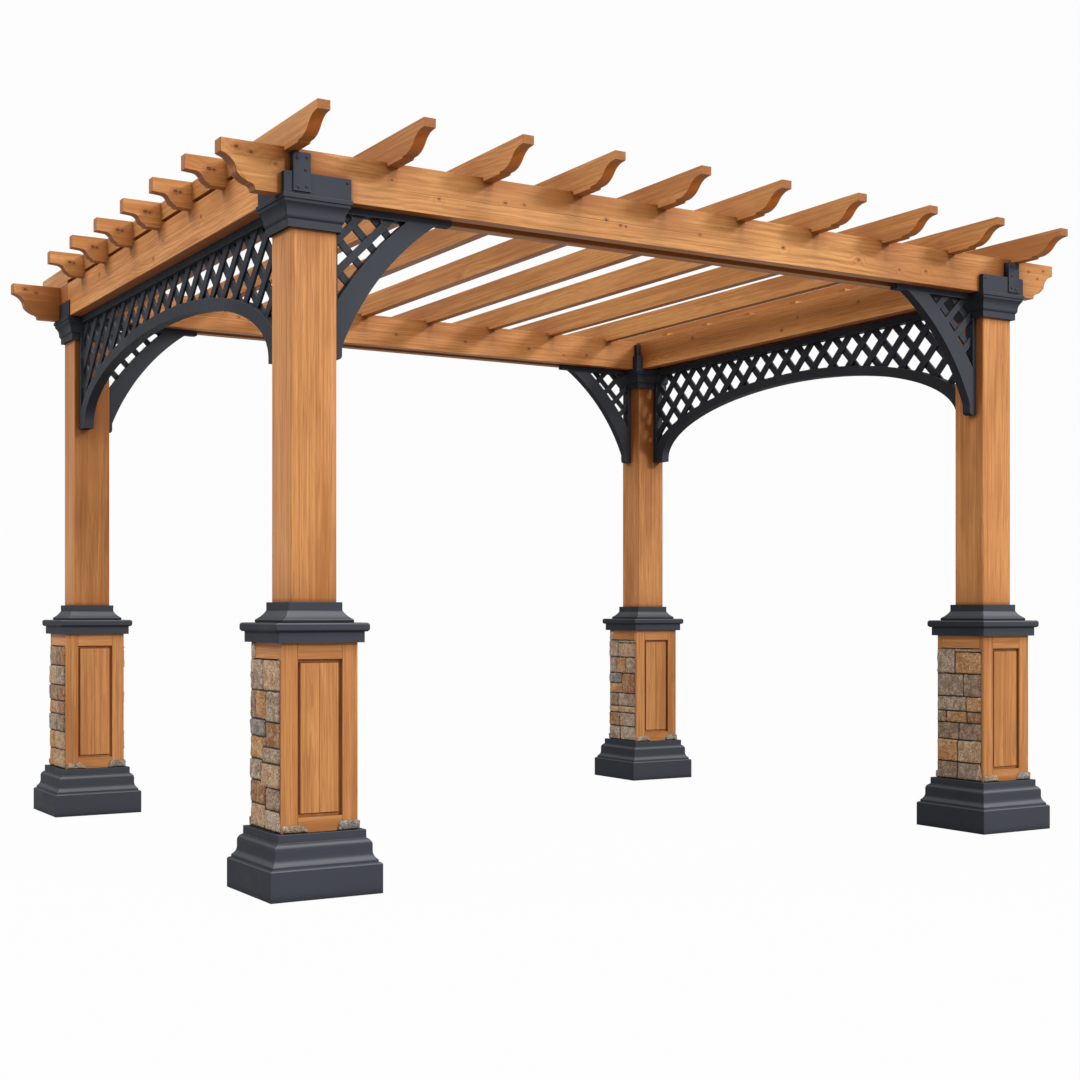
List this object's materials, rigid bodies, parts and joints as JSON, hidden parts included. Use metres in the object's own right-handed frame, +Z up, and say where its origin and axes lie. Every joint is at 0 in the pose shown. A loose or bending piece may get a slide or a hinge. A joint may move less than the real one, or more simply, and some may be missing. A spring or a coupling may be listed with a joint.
{
  "type": "garden pergola",
  "caption": "Open timber pergola: square posts on stone-faced pedestals with dark moulded plinths and caps, scroll-cut beams and rafters, lattice arches and corner braces.",
  "frame": {"origin": "on the ground in the middle of the four posts", "axes": "+X along the front beam, +Y from the front to the back, +Z up"},
  "size_m": [3.84, 3.344, 2.544],
  "materials": {
    "timber": "stained, satin",
    "dark_metal": "satin dark grey coating",
    "stone": "rough mixed grey and tan stone"
  },
  "bodies": {
    "root": {"front_left_post": "timber", "front_left_plinth": "dark_metal", "front_left_pedestal": "timber", "front_left_stone_veneer": "stone", "front_left_pedestal_cap": "dark_metal", "front_left_post_collar": "dark_metal", "front_left_capital": "dark_metal", "front_left_brace": "dark_metal", "front_left_beam_bracket": "dark_metal", "front_right_post": "timber", "front_right_plinth": "dark_metal", "front_right_pedestal": "timber", "front_right_stone_veneer": "stone", "front_right_pedestal_cap": "dark_metal", "front_right_post_collar": "dark_metal", "front_right_capital": "dark_metal", "front_right_brace": "dark_metal", "front_right_beam_bracket": "dark_metal", "back_left_post": "timber", "back_left_plinth": "dark_metal", "back_left_pedestal": "timber", "back_left_stone_veneer": "stone", "back_left_pedestal_cap": "dark_metal", "back_left_post_collar": "dark_metal", "back_left_capital": "dark_metal", "back_left_brace": "dark_metal", "back_left_beam_bracket": "dark_metal", "back_right_post": "timber", "back_right_plinth": "dark_metal", "back_right_pedestal": "timber", "back_right_stone_veneer": "stone", "back_right_pedestal_cap": "dark_metal", "back_right_post_collar": "dark_metal", "back_right_capital": "dark_metal", "back_right_brace": "dark_metal", "back_right_beam_bracket": "dark_metal", "front_beam": "timber", "back_beam": "timber", "left_beam": "timber", "right_beam": "timber", "rafter_01": "timber", "rafter_02": "timber", "rafter_03": "timber", "rafter_04": "timber", "rafter_05": "timber", "rafter_06": "timber", "rafter_07": "timber", "rafter_08": "timber", "rafter_09": "timber", "rafter_10": "timber", "left_side_tails": "timber", "right_side_tails": "timber", "left_arch": "dark_metal", "right_arch": "dark_metal"}
  },
  "joints": []
}
